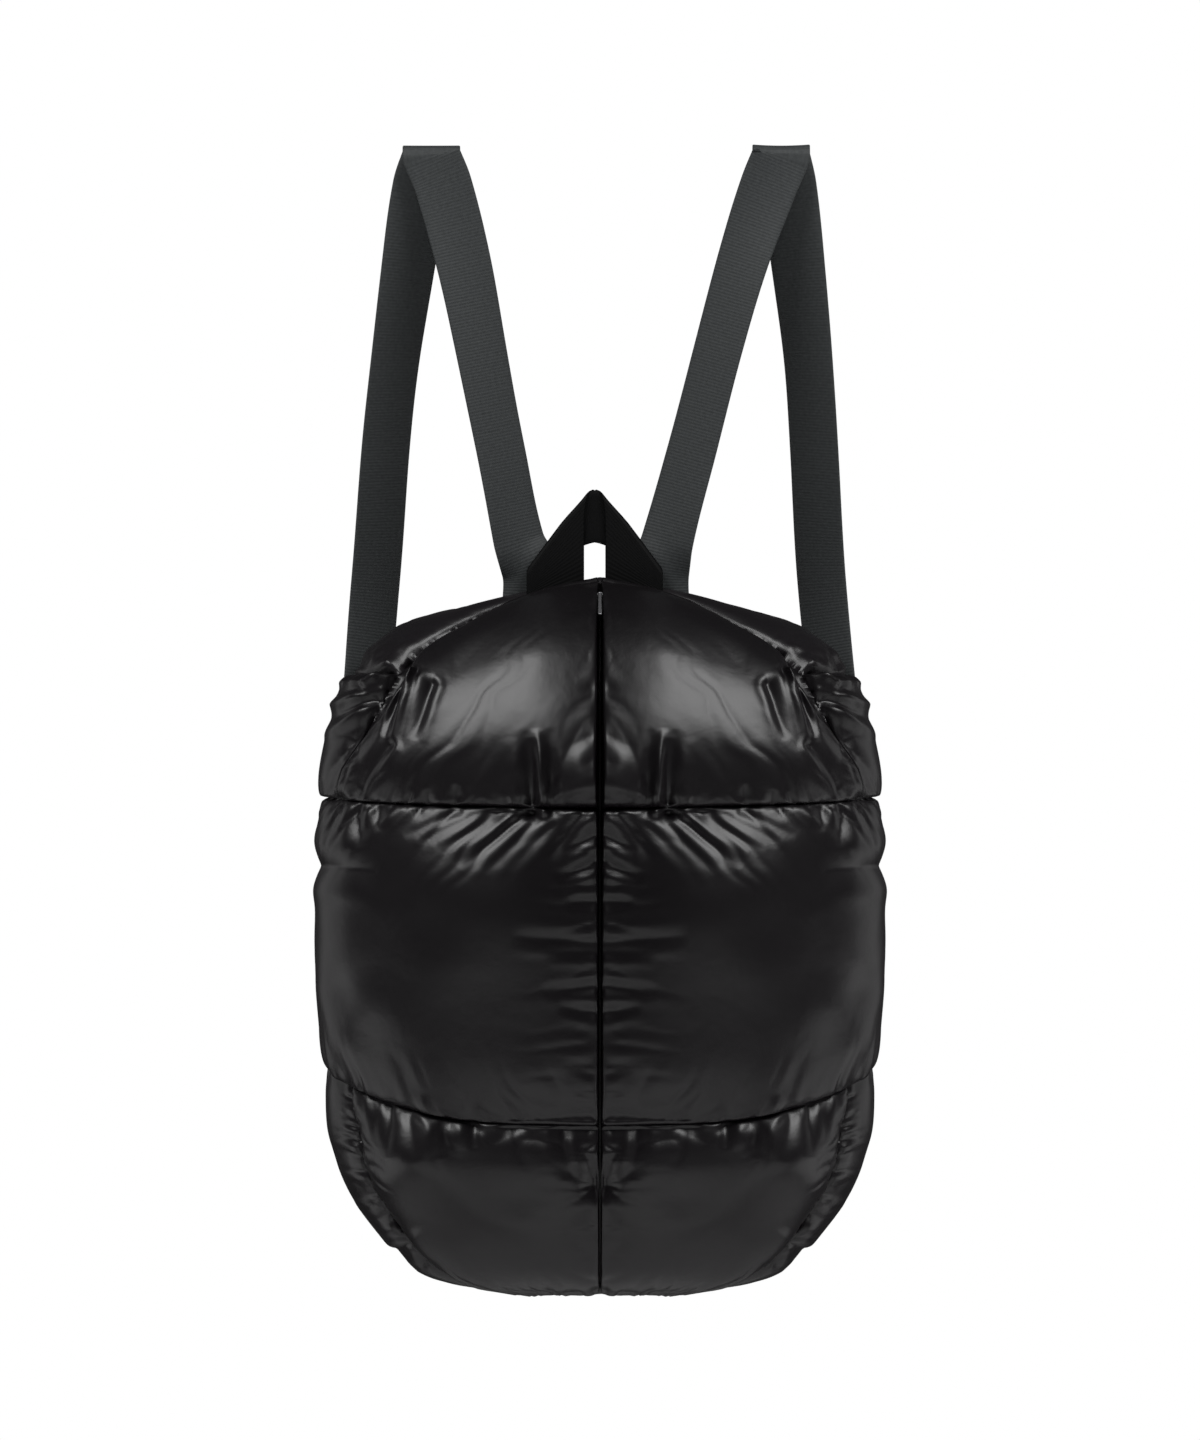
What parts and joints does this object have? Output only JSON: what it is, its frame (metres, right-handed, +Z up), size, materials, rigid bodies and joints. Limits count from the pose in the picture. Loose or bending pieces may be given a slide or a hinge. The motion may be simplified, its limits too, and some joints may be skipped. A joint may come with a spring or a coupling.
{
  "type": "quilted puffer backpack",
  "caption": "Soft quilted backpack in padded panels, with a front zip, a folded webbing grab handle and two webbing shoulder straps it hangs by.",
  "frame": {"origin": "on the axis of the rail that the two shoulder straps hang over, midway between the straps", "axes": "+Z up, -Y out of the front with the zip, +X to the right of someone looking at the front"},
  "size_m": [0.3824, 0.196, 0.76],
  "materials": {
    "shell_nylon": "glossy down-proof nylon, black with a slight warm tint",
    "webbing": "matt ribbed webbing, black",
    "zip_coil": "black nylon coil",
    "zip_metal": "black enamel"
  },
  "bodies": {
    "root": {"front_top_left": "shell_nylon", "front_top_right": "shell_nylon", "front_middle_left": "shell_nylon", "front_middle_right": "shell_nylon", "front_bottom_left": "shell_nylon", "front_bottom_right": "shell_nylon", "side_top_left": "shell_nylon", "side_top_right": "shell_nylon", "side_bottom_left": "shell_nylon", "side_bottom_right": "shell_nylon", "back_top": "shell_nylon", "back_middle": "shell_nylon", "back_bottom": "shell_nylon", "top_panel": "shell_nylon", "base_panel": "shell_nylon", "zip_chain": "zip_coil", "zip_slider": "zip_metal", "zip_puller": "zip_metal", "grab_handle": "webbing", "shoulder_strap_left": "webbing", "shoulder_strap_right": "webbing"}
  },
  "joints": []
}
